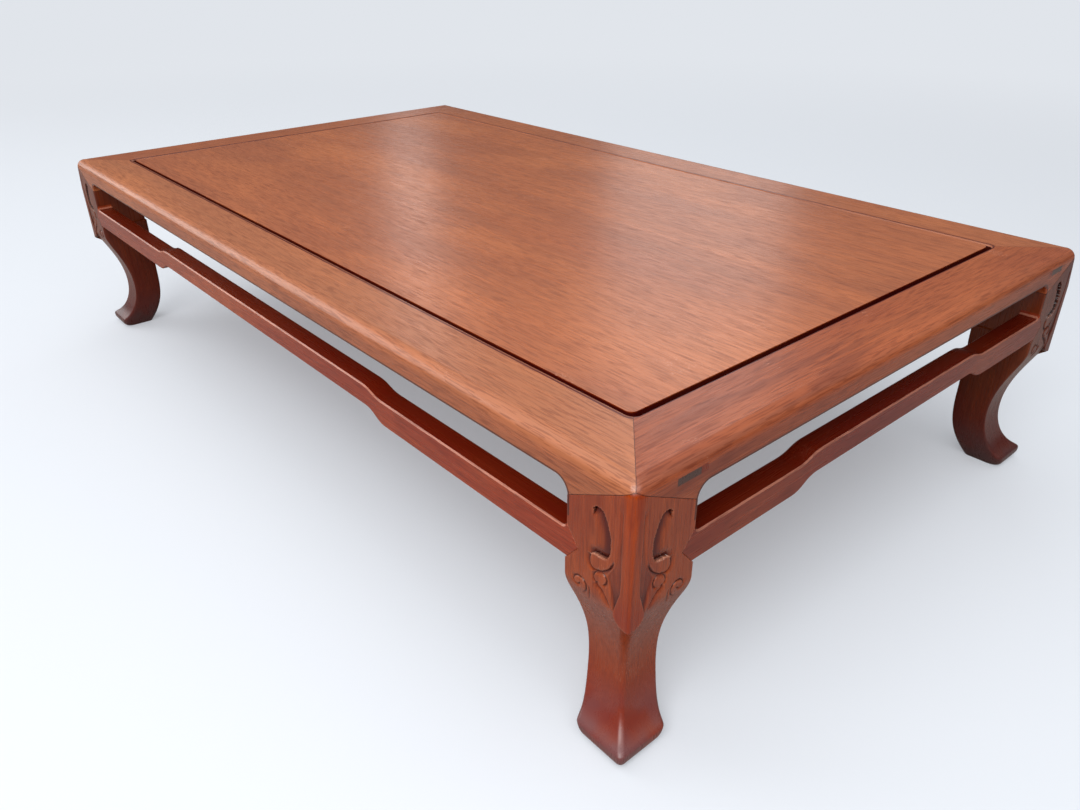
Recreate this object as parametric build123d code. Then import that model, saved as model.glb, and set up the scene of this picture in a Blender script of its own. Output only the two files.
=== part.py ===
from build123d import *
import os

os.makedirs("parts", exist_ok=True)

# Kang table in millimetres. X runs along the table, Y across it, Z up from the floor.
# Each corner is worked in its own distances: u in from the end face, v in from the long face.

# Whole table
length = 1100
width = 648
height = 247

# Frame of the top
rail_width = 60
rail_depth = 24  # between the legs
haunch_depth = 34.5  # where a rail meets a leg
haunch_radius = 11
edge_radius = 11  # long rounding along the outer top edge
corner_radius_low = 2.5  # upright corner, from the floor up
corner_radius_top = 12  # the corner opens out to this at the top
corner_taper = 40  # height over which it opens out
opening_radius = 6
opening_chamfer = 1.5
edge_ease = 1.2  # small bevel on the edges round the gaps under the rails

# Floating panel, let into a groove in the rails
panel_lip = 9.3
tongue_thickness = 5.7
groove_depth = 8
shrink_room = 1.5  # left at the bottom of the groove
gap_long = 3  # dark line beside the long rails
gap_short = 4.5  # dark line beside the short rails
panel_radius = 6

# Through tenons of the long rails, each with a wedge beside it
through_tenon_width = 22.5
wedge_wide = 7
wedge_narrow = 1.5
wedge_length = 50

# Battens under the panel
batten_count = 3
batten_spacing = 245
batten_width = 30
dovetail_height = 4
dovetail_neck = 16
dovetail_top = 20
batten_tenon_length = 12
batten_tenon_width = 20
batten_tenon_thickness = 4

# Legs
leg_size = 60
seam_drop = 4  # the three mitres meet this far below the top
shoulder_height = 149
ankle_height = 66
ankle_setback = 23.7
calf_height = 75
toe_height = 13.6
toe_end = 3.6  # upright end of the toe
toe_roll = 11  # how far the sole rolls up under the toe
heel_reach = 42
heel_lean = 6  # lean of the heel as it leaves the floor
shoulder_swell = 1.5  # the shoulder stands this far proud on the inner sides
swell_start = 118
swell_top = 149
arris_edge = 4  # softening along the outer corner of the shaft

# How far each curve of the leg keeps its direction from its end
shoulder_pull = 15  # down from the shoulder
ankle_pull_up = 40  # up from the ankle
ankle_pull_down = 26.4  # down from the ankle
instep_pull_in = 13  # in from the toe
instep_pull_up = 6.5  # and up from it
toe_pull = 6
sole_pull = 7
heel_pull = 20
calf_pull = 35

# Pointed leaf that hangs at the outer corner, with its root in the shoulder curve
leaf_rise = 16  # above the shoulder
leaf_band = 8.8
leaf_width = 14.4
leaf_width_drop = 8  # widest this far below the shoulder
leaf_neck = 9.9
leaf_tip_drop = 15.5
leaf_root_place = 0.28  # share of the way along the shoulder curve
leaf_root_depth = 3  # let into the shaft there
leaf_sag = 1  # hollow of its underside

# Tenons at the top of each leg: a long one for the long rail, a short one for the short rail
leg_tenon_width = 18
leg_tenon_thickness = 14
leg_tenon_inset = 12  # from the face of its own rail
leg_tenon_start = 32  # from the face of the other rail
long_tenon_cover = 8  # wood left above the long tenon
short_tenon_cover = 2  # wood left between the short tenon and the through tenon

# Humpback stretchers
stretcher_thickness = 20
stretcher_height = 24
stretcher_bottom = 162
hump_top_rise = 5.5
hump_bottom_rise = 9
hump_half_front = 228
hump_half_side = 117
hump_run = 31
hump_bottom_offset = 4  # the lower curve starts this much farther out
cove_radius = 5
shoulder_point = 11.5
shoulder_tip_height = 13.5  # above the stretcher's underside
shoulder_thickness = 8
stretcher_tenon_thickness = 8
stretcher_tenon_height = 16
stretcher_tenon_length = 28

# Clearance at the blind end of a mortise
mortise_relief = 1

# A cutting shape runs this far past the wood
overrun = 1

half_length = length / 2
half_width = width / 2
tongue_top = height - panel_lip
panel_bottom = tongue_top - tongue_thickness
rail_bottom = height - rail_depth
haunch_bottom = height - haunch_depth
inner_half_length = half_length - rail_width
inner_half_width = half_width - rail_width
leg_gap_half_length = half_length - leg_size
leg_gap_half_width = half_width - leg_size
diagonal = Plane(origin=(0, 0, 0), z_dir=(1, -1, 0))


def slab(outline, bottom, top):
    """A flat outline raised from one height to another."""
    return extrude(Pos(0, 0, bottom) * outline, top - bottom)


def block(x0, x1, y0, y1, z0, z1):
    """A square-edged block between two corners."""
    return Pos((x0 + x1) / 2, (y0 + y1) / 2, (z0 + z1) / 2) * Box(x1 - x0, y1 - y0, z1 - z0)


def across(outline, start, end):
    """An outline drawn in X and Z, carried along Y from start to end."""
    return extrude(Pos(0, start, 0) * (Plane.XZ * outline), end - start, dir=(0, 1, 0))


def at_corner(piece, right, back):
    """Takes a piece from the front left corner to any of the four."""
    if right:
        piece = mirror(piece, about=Plane.YZ)
    if back:
        piece = mirror(piece, about=Plane.XZ)
    return piece


# Outside of the whole table: corners that open out on the way up, and a rounded top edge.
low_outline = RectangleRounded(length, width, corner_radius_low)
top_outline = RectangleRounded(length, width, corner_radius_top)
taper_start = height - corner_taper
outside = slab(low_outline, 0, taper_start)
outside += loft([Pos(0, 0, taper_start) * low_outline, Pos(0, 0, height) * top_outline], ruled=True)
outside = fillet(outside.faces().sort_by(Axis.Z)[-1].edges(), edge_radius)


def ogee(start, end):
    """Two equal arcs that turn against each other and lie level at both ends."""
    middle = (Vector(*start) + Vector(*end)) / 2
    first = TangentArc(start, middle, tangent=(1, 0))
    return [first, TangentArc(middle, end, tangent=first % 1)]


# Stretchers, drawn along X with the outer face at y = 0 and the wood behind it
def stretcher(gap_half, hump_half):
    """A humpback rail between two legs, with pointed shoulders over a tenon at each end."""
    low = stretcher_bottom
    high = low + stretcher_height
    hump_end = hump_half + hump_run
    blank_half = gap_half + shoulder_point + overrun
    cove_top = high + cove_radius
    blank_top = cove_top + 2 * edge_ease
    rise_left = ogee((-hump_end, high), (-hump_half, high + hump_top_rise))
    under_half = hump_half + hump_bottom_offset
    under_end = under_half + hump_run
    under_left = ogee((-under_end, low), (-under_half, low + hump_bottom_rise))
    cove_left = RadiusArc((-gap_half, cove_top), (-gap_half + cove_radius, high), -cove_radius)
    edges = [
        Line((-gap_half, blank_top), (-gap_half, cove_top)),
        cove_left,
        Line(cove_left @ 1, (-hump_end, high)),
        *rise_left,
        Line((-hump_half, high + hump_top_rise), (hump_half, high + hump_top_rise)),
        *[mirror(arc, about=Plane.YZ) for arc in rise_left],
        Line((hump_end, high), (gap_half - cove_radius, high)),
        mirror(cove_left, about=Plane.YZ),
        Line((gap_half, cove_top), (gap_half, blank_top)),
        Line((gap_half, blank_top), (blank_half, blank_top)),
        Line((blank_half, blank_top), (blank_half, low)),
        Line((blank_half, low), (under_end, low)),
        *[mirror(arc, about=Plane.YZ) for arc in under_left],
        Line((under_half, low + hump_bottom_rise), (-under_half, low + hump_bottom_rise)),
        *under_left,
        Line((-under_end, low), (-blank_half, low)),
        Line((-blank_half, low), (-blank_half, blank_top)),
        Line((-blank_half, blank_top), (-gap_half, blank_top)),
    ]
    blank = across(make_face(edges), 0, stretcher_thickness)
    long_edges = [
        edge
        for edge in blank.faces().filter_by(Axis.Y).edges()
        if abs((edge @ 0.5).X) < gap_half + overrun / 2
    ]
    blank = chamfer(long_edges, edge_ease)
    bar = blank & block(-gap_half, gap_half, 0, stretcher_thickness, low, blank_top + hump_top_rise)
    for shoulder in (stretcher_shoulder(gap_half), mirror(stretcher_shoulder(gap_half), about=Plane.YZ)):
        bar += blank & shoulder
    bar += stretcher_tenon(gap_half, 0)
    bar += mirror(stretcher_tenon(gap_half, 0), about=Plane.YZ)
    return bar


def stretcher_shoulder(gap_half):
    """The pointed shoulder at the right end, flush with the face of the leg."""
    point = Polyline(
        (gap_half, stretcher_bottom + stretcher_height + cove_radius),
        (gap_half + shoulder_point, stretcher_bottom + shoulder_tip_height),
        (gap_half, stretcher_bottom),
        close=True,
    )
    return across(make_face(point), 0, shoulder_thickness)


def stretcher_tenon(gap_half, extra):
    """The tenon at the right end; extra deepens the mortise that it leaves."""
    middle = stretcher_bottom + stretcher_height / 2
    return block(
        gap_half,
        gap_half + stretcher_tenon_length + extra,
        shoulder_thickness,
        shoulder_thickness + stretcher_tenon_thickness,
        middle - stretcher_tenon_height / 2,
        middle + stretcher_tenon_height / 2,
    )


long_bar = stretcher(leg_gap_half_length, hump_half_front)
short_bar = stretcher(leg_gap_half_width, hump_half_side)
stretcher_front = Pos(0, -half_width, 0) * long_bar
stretcher_back = mirror(stretcher_front, about=Plane.XZ)
stretcher_left = Pos(-half_length, 0, 0) * Rot(0, 0, -90) * short_bar
stretcher_right = mirror(stretcher_left, about=Plane.YZ)


# Leg, worked at the corner u = v = 0
seam_top = height - seam_drop
shoulder_curve = Bezier(
    (0, shoulder_height),
    (0, shoulder_height - shoulder_pull),
    (ankle_setback, ankle_height + ankle_pull_up),
    (ankle_setback, ankle_height),
)
instep_curve = Bezier(
    (ankle_setback, ankle_height),
    (ankle_setback, ankle_height - ankle_pull_down),
    (instep_pull_in, toe_height + instep_pull_up),
    (0, toe_height),
)
toe_curve = Bezier(
    (0, toe_height - toe_end),
    (0, toe_height - toe_end - toe_pull),
    (toe_roll - sole_pull, 0),
    (toe_roll, 0),
)
calf_curve = Bezier(
    (heel_reach, 0),
    (leg_size - heel_lean, heel_pull),
    (leg_size, calf_height - calf_pull),
    (leg_size, calf_height),
)
swell_curve = Bezier(
    (leg_size, swell_start),
    (leg_size, (swell_start + swell_top) / 2),
    (leg_size + shoulder_swell, (swell_start + swell_top) / 2),
    (leg_size + shoulder_swell, swell_top),
)
leg_outline = make_face([
    Line((0, seam_top), (0, shoulder_height)),
    shoulder_curve,
    instep_curve,
    Line((0, toe_height), (0, toe_height - toe_end)),
    toe_curve,
    Line((toe_roll, 0), (heel_reach, 0)),
    calf_curve,
    Line((leg_size, calf_height), (leg_size, swell_start)),
    swell_curve,
    Line(swell_curve @ 1, (leg_size + shoulder_swell, stretcher_bottom - shoulder_swell)),
    Line((leg_size + shoulder_swell, stretcher_bottom - shoulder_swell), (leg_size, stretcher_bottom)),
    Line((leg_size, stretcher_bottom), (leg_size, haunch_bottom)),
    Line((leg_size, haunch_bottom), (0, seam_top)),
])
leg_view = across(leg_outline, -overrun, leg_size + shoulder_swell + overrun)
shaft = leg_view & mirror(leg_view, about=diagonal)

# The shaft is softened along the outer corner; the head stays square to fit the rails.
arris = [
    edge
    for edge in shaft.edges()
    if edge.bounding_box().size.Z > toe_end / 2
    and edge.bounding_box().max.Z < shoulder_height + toe_end / 2
    and max((edge @ 0.5).X, (edge @ 0.5).Y) < heel_reach
]
shoulder_plane = Plane.XY.offset(shoulder_height)
head = split(shaft, shoulder_plane, Keep.TOP)
shaft = split(fillet(arris, arris_edge), shoulder_plane, Keep.BOTTOM)
gap_edges = [
    edge
    for edge in head.edges().filter_by(Axis.Z)
    if edge.bounding_box().min.Z > stretcher_bottom - shoulder_swell / 2
    and min((edge @ 0.5).X, (edge @ 0.5).Y) < heel_reach < max((edge @ 0.5).X, (edge @ 0.5).Y)
]
shaft += chamfer(gap_edges, edge_ease)

# The pointed leaf at the corner keeps to the outer faces while the shaft falls away behind it.
leaf_top = shoulder_height + leaf_rise
leaf_tip = shoulder_height - leaf_tip_drop
leaf_root = shoulder_curve @ leaf_root_place + Vector(leaf_root_depth, 0)
leaf_left = Spline(
    (leaf_band, leaf_top),
    (leaf_width, shoulder_height - leaf_width_drop),
    (leaf_neck, leaf_tip),
    leaf_root,
    tangents=[(0, -1), (0, -1)],
)
leaf_outline = make_face([
    leaf_left,
    SagittaArc((0, leaf_tip), leaf_root, -leaf_sag),
    Line((0, leaf_tip), (0, leaf_top)),
    Line((0, leaf_top), (leaf_band, leaf_top)),
])
leaf_view = across(leaf_outline, -overrun, leg_size)
leaf = leaf_view & mirror(leaf_view, about=diagonal)


def long_tenon(extra):
    """Rises into the long rail."""
    return block(
        leg_tenon_start,
        leg_tenon_start + leg_tenon_width,
        leg_tenon_inset,
        leg_tenon_inset + leg_tenon_thickness,
        haunch_bottom,
        height - long_tenon_cover - mortise_relief + extra,
    )


def short_tenon(extra):
    """Rises into the short rail, and stops under the through tenon."""
    return block(
        leg_tenon_inset,
        leg_tenon_inset + leg_tenon_thickness,
        leg_tenon_start,
        leg_tenon_start + leg_tenon_width,
        haunch_bottom,
        panel_bottom - short_tenon_cover - mortise_relief + extra,
    )


corner_spot = Pos(-half_length, -half_width, 0)
leg = corner_spot * (shaft + leaf)
leg = leg & outside
leg = leg + corner_spot * long_tenon(0) + corner_spot * short_tenon(0)
front_seat = stretcher_shoulder(leg_gap_half_length) + stretcher_tenon(leg_gap_half_length, mortise_relief)
side_seat = stretcher_shoulder(leg_gap_half_width) + stretcher_tenon(leg_gap_half_width, mortise_relief)
leg -= Pos(0, -half_width, 0) * mirror(front_seat, about=Plane.YZ)
leg -= Pos(-half_length, 0, 0) * Rot(0, 0, -90) * side_seat

# Frame of the top as one ring, before it is parted at the mitres
ring = outside & block(-half_length, half_length, -half_width, half_width, haunch_bottom, height)
opening = RectangleRounded(2 * inner_half_length, 2 * inner_half_width, opening_radius)
flare = RectangleRounded(
    2 * (inner_half_length + opening_chamfer),
    2 * (inner_half_width + opening_chamfer),
    opening_radius + opening_chamfer,
)
ring -= slab(opening, haunch_bottom, height)
ring -= loft([Pos(0, 0, height - opening_chamfer) * opening, Pos(0, 0, height) * flare], ruled=True)

# The rails are thinner between the legs than at them.
slot_low = haunch_bottom - haunch_radius


def relief(half, grow):
    """Outline of the space under a rail, between two legs, wider by grow all round."""
    top = rail_bottom + grow
    outline = Pos(0, (slot_low + top) / 2) * Rectangle(2 * (half + grow), top - slot_low)
    return fillet(outline.vertices().sort_by(Axis.Y)[-2:], haunch_radius + grow)


def relief_bevel(half, face):
    """Bevel where that space comes out at the face of the front rail."""
    inner = Pos(0, edge_ease - face, 0) * (Plane.XZ * relief(half, 0))
    outer = Pos(0, -face, 0) * (Plane.XZ * relief(half, edge_ease))
    return loft([inner, outer], ruled=True)


front_bevel = relief_bevel(leg_gap_half_length, half_width)
left_bevel = Rot(0, 0, -90) * relief_bevel(leg_gap_half_width, half_length)
ring -= across(relief(leg_gap_half_length, 0), -half_width - overrun, half_width + overrun)
ring -= Rot(0, 0, 90) * across(relief(leg_gap_half_width, 0), -half_length - overrun, half_length + overrun)
ring = ring - front_bevel - mirror(front_bevel, about=Plane.XZ)
ring = ring - left_bevel - mirror(left_bevel, about=Plane.YZ)

# Leg heads and their tenons are let into the ring from below.
socket = head + long_tenon(mortise_relief) + short_tenon(mortise_relief)
for right in (False, True):
    for back in (False, True):
        ring -= at_corner(corner_spot * socket, right, back)

groove = slab(
    Rectangle(2 * (inner_half_length + groove_depth), 2 * (inner_half_width + groove_depth)),
    panel_bottom,
    tongue_top,
)

# Through tenons and wedges
through_tenon = block(0, rail_width, rail_width - through_tenon_width, rail_width, panel_bottom, tongue_top)
wedge_outline = Polyline(
    (0, rail_width),
    (wedge_length, rail_width),
    (wedge_length, rail_width + wedge_narrow),
    (0, rail_width + wedge_wide),
    close=True,
)
wedge = corner_spot * slab(make_face(wedge_outline), panel_bottom, tongue_top) & outside
tenon_left = corner_spot * through_tenon & outside
tenon_right = mirror(tenon_left, about=Plane.YZ)

# Battens: a body under the panel, a dovetail into it and a stub tenon into each long rail
batten_body_depth = panel_bottom - rail_bottom
batten_section = block(
    -batten_width / 2, batten_width / 2, -inner_half_width, inner_half_width, rail_bottom, panel_bottom
)
dovetail_outline = Polyline(
    (-dovetail_neck / 2, panel_bottom),
    (dovetail_neck / 2, panel_bottom),
    (dovetail_top / 2, panel_bottom + dovetail_height),
    (-dovetail_top / 2, panel_bottom + dovetail_height),
    close=True,
)
dovetail = across(make_face(dovetail_outline), -inner_half_width, inner_half_width)
housing = across(make_face(dovetail_outline), -half_width, half_width)


def batten_tenons(extra):
    """One block that runs through the batten and out at both ends."""
    middle = rail_bottom + batten_body_depth / 2
    reach = inner_half_width + batten_tenon_length + extra
    return block(
        -batten_tenon_width / 2,
        batten_tenon_width / 2,
        -reach,
        reach,
        middle - batten_tenon_thickness / 2,
        middle + batten_tenon_thickness / 2,
    )


batten = batten_section + dovetail + batten_tenons(0)
batten_spots = [Pos((i - (batten_count - 1) / 2) * batten_spacing, 0, 0) for i in range(batten_count)]

# Part the ring at the mitres
reach_in = rail_width + 2 * opening_radius
front_part = make_face(Polyline(
    (-half_length, -half_width),
    (half_length, -half_width),
    (half_length - reach_in, -half_width + reach_in),
    (-half_length + reach_in, -half_width + reach_in),
    close=True,
))
side_part = make_face(Polyline(
    (-half_length, -half_width),
    (-half_length + reach_in, -half_width + reach_in),
    (-half_length + reach_in, half_width - reach_in),
    (-half_length, half_width),
    close=True,
))
long_rail = ring & slab(front_part, haunch_bottom, height)
long_rail = long_rail + tenon_left + tenon_right - groove
for spot in batten_spots:
    long_rail -= spot * batten_tenons(mortise_relief)
short_rail = ring & slab(side_part, haunch_bottom, height)
short_rail = short_rail - groove - tenon_left - wedge
short_rail = short_rail - mirror(tenon_left, about=Plane.XZ) - mirror(wedge, about=Plane.XZ)

# Panel
lip_outline = RectangleRounded(
    2 * (inner_half_length - gap_short), 2 * (inner_half_width - gap_long), panel_radius
)
tongue_outline = Rectangle(
    2 * (inner_half_length + groove_depth - shrink_room),
    2 * (inner_half_width + groove_depth - shrink_room),
)
panel = slab(lip_outline, tongue_top, height) + slab(tongue_outline, panel_bottom, tongue_top)
for spot in batten_spots:
    panel -= spot * housing

pieces = {
    "long_rail_front": long_rail,
    "long_rail_back": mirror(long_rail, about=Plane.XZ),
    "short_rail_left": short_rail,
    "short_rail_right": mirror(short_rail, about=Plane.YZ),
    "panel": panel,
    "stretcher_front": stretcher_front,
    "stretcher_back": stretcher_back,
    "stretcher_left": stretcher_left,
    "stretcher_right": stretcher_right,
}
for i, spot in enumerate(batten_spots):
    pieces[f"batten_{i + 1}"] = spot * batten
for back, along in ((False, "front"), (True, "back")):
    for right, side in ((False, "left"), (True, "right")):
        pieces[f"leg_{along}_{side}"] = at_corner(leg, right, back)
        pieces[f"wedge_{along}_{side}"] = at_corner(wedge, right, back)

for name, piece in pieces.items():
    export_step(piece, f"parts/{name}.step")
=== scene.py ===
import math

import bpy
import numpy as np
from mathutils import Matrix, Vector


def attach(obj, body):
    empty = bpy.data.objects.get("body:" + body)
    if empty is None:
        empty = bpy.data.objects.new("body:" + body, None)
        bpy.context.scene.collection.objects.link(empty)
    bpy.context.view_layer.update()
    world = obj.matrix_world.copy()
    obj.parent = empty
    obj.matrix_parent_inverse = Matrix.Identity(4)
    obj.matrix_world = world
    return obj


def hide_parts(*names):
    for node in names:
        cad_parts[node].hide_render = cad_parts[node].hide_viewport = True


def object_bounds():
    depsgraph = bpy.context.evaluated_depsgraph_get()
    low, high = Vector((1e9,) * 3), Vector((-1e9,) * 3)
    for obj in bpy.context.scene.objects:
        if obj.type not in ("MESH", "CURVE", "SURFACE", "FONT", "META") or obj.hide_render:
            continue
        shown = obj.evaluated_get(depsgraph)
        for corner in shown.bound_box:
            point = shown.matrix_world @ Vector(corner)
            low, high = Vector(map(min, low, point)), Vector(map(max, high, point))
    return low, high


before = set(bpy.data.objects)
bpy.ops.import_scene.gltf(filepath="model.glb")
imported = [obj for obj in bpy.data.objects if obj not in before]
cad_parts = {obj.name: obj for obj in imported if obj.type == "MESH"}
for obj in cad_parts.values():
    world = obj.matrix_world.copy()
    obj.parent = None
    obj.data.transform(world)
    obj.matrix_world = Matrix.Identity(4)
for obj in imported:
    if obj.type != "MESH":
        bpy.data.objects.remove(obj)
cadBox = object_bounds()
mm = 0.001
tableHigh = cadBox[1]
halfLength = tableHigh.x
halfWidth = tableHigh.y
tableHeight = tableHigh.z
print("frame loaded")


# Camera: the unshifted view of a 28.8 mm lens from above the right front corner.
cameraSetup = {
    "place": (0.8281, -0.6373, 0.5341),
    "azimuth": 49.26,
    "elevation": 29.007,
    "roll": -0.348,
    "lens": 28.797,
    "sensor": 36,
    "farthest": 100,
}


def makeCamera(setup):
    azimuth = math.radians(setup["azimuth"])
    elevation = math.radians(setup["elevation"])
    roll = math.radians(setup["roll"])
    back = Vector((
        math.sin(azimuth) * math.cos(elevation),
        -math.cos(azimuth) * math.cos(elevation),
        math.sin(elevation),
    ))
    right = (-back).cross(Vector((0, 0, 1))).normalized()
    up = right.cross(-back)
    sideways = right * math.cos(roll) + up * math.sin(roll)
    upwards = up * math.cos(roll) - right * math.sin(roll)
    data = bpy.data.cameras.new("camera")
    data.sensor_width = setup["sensor"]
    data.lens = setup["lens"]
    data.clip_end = setup["farthest"]
    camera = bpy.data.objects.new("camera", data)
    bpy.context.collection.objects.link(camera)
    turn = Matrix((sideways, upwards, back)).transposed()
    camera.matrix_world = Matrix.Translation(Vector(setup["place"])) @ turn.to_4x4()
    bpy.context.scene.camera = camera
    return camera


camera = makeCamera(cameraSetup)
print("camera placed")


# Node helpers
def newMaterial(name):
    material = bpy.data.materials.new(name)
    material.use_nodes = True
    tree = material.node_tree
    tree.nodes.clear()
    return material, tree


def addNode(tree, kind, settings=None, inputs=None):
    node = tree.nodes.new(kind)
    for key, value in (settings or {}).items():
        setattr(node, key, value)
    for key, value in (inputs or {}).items():
        socket = node.inputs[key]
        if isinstance(value, bpy.types.NodeSocket):
            tree.links.new(value, socket)
        else:
            socket.default_value = value
    return node


def maths(tree, operation, first, second=0.0, clamp=False):
    return addNode(
        tree, "ShaderNodeMath", {"operation": operation, "use_clamp": clamp}, {0: first, 1: second}
    ).outputs[0]


def times(tree, first, second):
    return maths(tree, "MULTIPLY", first, second)


def axes(tree, vector):
    return addNode(tree, "ShaderNodeSeparateXYZ", {}, {0: vector}).outputs


def remap(tree, value, fromLow, fromHigh, toLow=0.0, toHigh=1.0, smooth=True):
    return addNode(
        tree,
        "ShaderNodeMapRange",
        {"interpolation_type": "SMOOTHSTEP" if smooth else "LINEAR"},
        {"Value": value, "From Min": fromLow, "From Max": fromHigh, "To Min": toLow, "To Max": toHigh},
    ).outputs[0]


def mixColour(tree, factor, first, second):
    node = addNode(tree, "ShaderNodeMix", {"data_type": "RGBA"})
    for index, value in ((0, factor), (6, first), (7, second)):
        if isinstance(value, bpy.types.NodeSocket):
            tree.links.new(value, node.inputs[index])
        else:
            node.inputs[index].default_value = value
    return node.outputs[2]


def colour(red, green, blue):
    def linear(value):
        value = value / 255
        return value / 12.92 if value <= 0.04045 else ((value + 0.055) / 1.055) ** 2.4
    return (linear(red), linear(green), linear(blue), 1)


# Rosewood: slow bands, fine streaks and short dark pores, all drawn out along the grain
woodLook = {
    "light": colour(198, 110, 66),
    "middle": colour(162, 68, 42),
    "dark": colour(108, 29, 15),
    "russet": colour(128, 36, 26),
    # painted sheen on the upward faces and on the rails' rounded edges
    "paintedTopLight": colour(206, 148, 110),
    "pore": colour(84, 24, 8),
    # painted shade: in the cuts of the carving, round the panel's opening, and on the stretchers' upper
    # faces
    "paintedShade": colour(80, 20, 16),
    # dark joint lines, and painted shade in the creases of the carving and under the leaf's edge
    "lineDarkAndShade": colour(52, 12, 9),
    # wear and scratches, and painted highlight on the bevels and on the rims of the carving
    "wornAndHighlight": colour(228, 170, 146),
    "strip": colour(174, 72, 32),
    # painted shade on the wall of the groove round the panel
    "gap": colour(58, 9, 11),
    # scuffs on the foot, with a painted sheen on the toe
    "scuffsAndSheen": colour(118, 76, 76),
    "endGrain": colour(74, 52, 46),
    "middleShare": 0.42,
    "levelFrom": 0.97,
    "saturation": 1.05,
    "roughness": 0.28,
    "roughnessSpread": 0.02,
    "poreRoughness": 0.05,
    "fineHeight": 0.4,
    "poreDepth": 0.5,
    "bumpStrength": 0.1,
    "bumpDistance": 0.00003,
}
usualWood = {  # where a piece's own look says nothing else
    # the fade amount sets how much painted light, or on the stretchers painted shade, the upward faces take
    "toneAndShade": 1.0, "red": 0.0, "fade": 0.34, "joints": None, "carved": False, "tenon": False, "rim": None,
    "paintedOnTop": "paintedTopLight", "topLightFrom": 0.55, "edges": 0.0, "streaky": 0.4, "scratched": 0.45, "porous": 0.38,
}
grainTurn = {"x": (0, 0, 0), "y": (0, 0, math.pi / 2), "z": (0, math.pi / 2, 0)}
grainNoise = {  # scale along and across the grain, detail, roughness and distortion
    "bands": (1.6, 11, 3, 0.5, 0.9),
    "figure": (3.4, 42, 2, 0.55, 1.4),
    "streaks": (7, 200, 3, 0.6, 0.0),
    "fine": (16, 760, 2, 0.6, 0.0),
    "pores": (46, 920, 1, 0.5, 0.0),
    "flecks": (420, 1100, 1, 0.5, 0.0),
    "knocks": (24, 24, 2, 0.5, 0.0),
    "mottle": (4, 8, 2, 0.5, 0.0),
    "patches": (2.2, 5, 2, 0.5, 0.0),
}

# Two numbers together are from and to, and four add the amount at each of them
noiseRange = {
    "bands": (0.3, 0.7, 0.1, 0.95),
    "patches": (0.5, 0.72, 0.0, 0.55),
    "figure": (0.5, 0.66),
    "streaks": (0.3, 0.7, 0.35, 0.0),
    "fine": (0.32, 0.62, 0.5, 0.0),
    "mottle": (0.45, 0.75, 0.0, 0.6),
    "pores": (0.53, 0.585),
    "flecks": (0.62, 0.68),
    "knocks": (0.66, 0.72),
    "roughness": (0.3, 0.7),
}

# Lengths are in metres
faceReach = 0.0006  # points this close to an outer plane lie on it
joint = {
    "seamLow": 0.2125, "seamHigh": 0.243, "legSize": 0.06, "overrun": 0.0005,
    "width": 0.0002, "mitreSpread": 2.4, "fineDarkLines": 0.8,
}
railGap = {
    "halfLength": 0.49, "halfWidth": 0.264, "top": 0.223, "radius": 0.011, "ease": 0.0019,
    "lineWidth": 0.0005, "lineFrom": 0.197, "faceReach": 0.0016,
}
opening = {
    "halfLength": 0.49, "halfWidth": 0.264, "radius": 0.006, "ease": 0.0005, "lip": 0.0013,
    "long": 0.0033, "short": 0.0015,  # where the fine line runs on each kind of rail
    "lineWidth": 0.00055, "lineAmount": 0.95, "bandFrom": 0.001, "bandAmount": 0.35,
    "wallReach": 0.0002, "wallFacing": -0.3, "wallAmount": 0.94,
}
# painted highlight on the bevels that tip upwards, and wear on the corners of the top
edgeHighlightAndWear = {
    "tippedUp": (0.4, 0.6), "nearlyLevel": (0.78, 0.9, 1, 0), "rimWidth": 0.02,
    "corner": (0.004, 0.022, 1.6, 0), "cornerHeight": (0.234, 0.242), "uneven": (0.35, 0.6, 0.3, 1),
}
legMarksAndShade = {
    "reddened": (0.01, 0.13, 0.62, 0), "scuffsAndSheen": (0.008, 0.06, 0.95, 0),
    "scuffSpots": (0.36, 0.58, 0.35, 1), "leafTip": (0.138, 0.168, 0.55, 0),
    "stripStreaks": (0.42, 0.62, 0.08, 0.6), "stripHeight": (0.138, 0.178, 0.4, 1),
    # painted shade in the cuts, darker where deeper, and in the creases; painted highlight with wear on the
    # rims
    "cutDepth": (0.0001, 0.0019, 0, 0.93), "creaseShadeAmount": 0.75, "rimAmount": 0.42,
}
tenonTop = 0.24


def cornerPlace(tree, place):  # distances in from the end face and the long face, and the height
    x, y, z = axes(tree, place)
    p = maths(tree, "SUBTRACT", halfLength, maths(tree, "ABSOLUTE", x))
    q = maths(tree, "SUBTRACT", halfWidth, maths(tree, "ABSOLUTE", y))
    return p, q, z


def fineLine(tree, distance, offset, width, spread=2.2):
    away = maths(tree, "ABSOLUTE", maths(tree, "SUBTRACT", distance, offset))
    return remap(tree, away, width, width * spread, 1, 0)


def jointLines(tree, place, withMitre):  # fine dark lines where the rails and the leg meet
    p, q, z = cornerPlace(tree, place)
    reach = maths(tree, "MAXIMUM", p, q)
    slope = (joint["seamHigh"] - joint["seamLow"]) / joint["legSize"]
    seam = maths(tree, "SUBTRACT", joint["seamHigh"], times(tree, reach, slope))
    onLeg = maths(tree, "LESS_THAN", reach, joint["legSize"] + joint["overrun"])
    line = times(tree, fineLine(tree, z, seam, joint["width"]), onLeg)
    if withMitre:
        line = maths(tree, "MAXIMUM", line, fineLine(tree, p, q, joint["width"], joint["mitreSpread"]))
    return line


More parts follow.
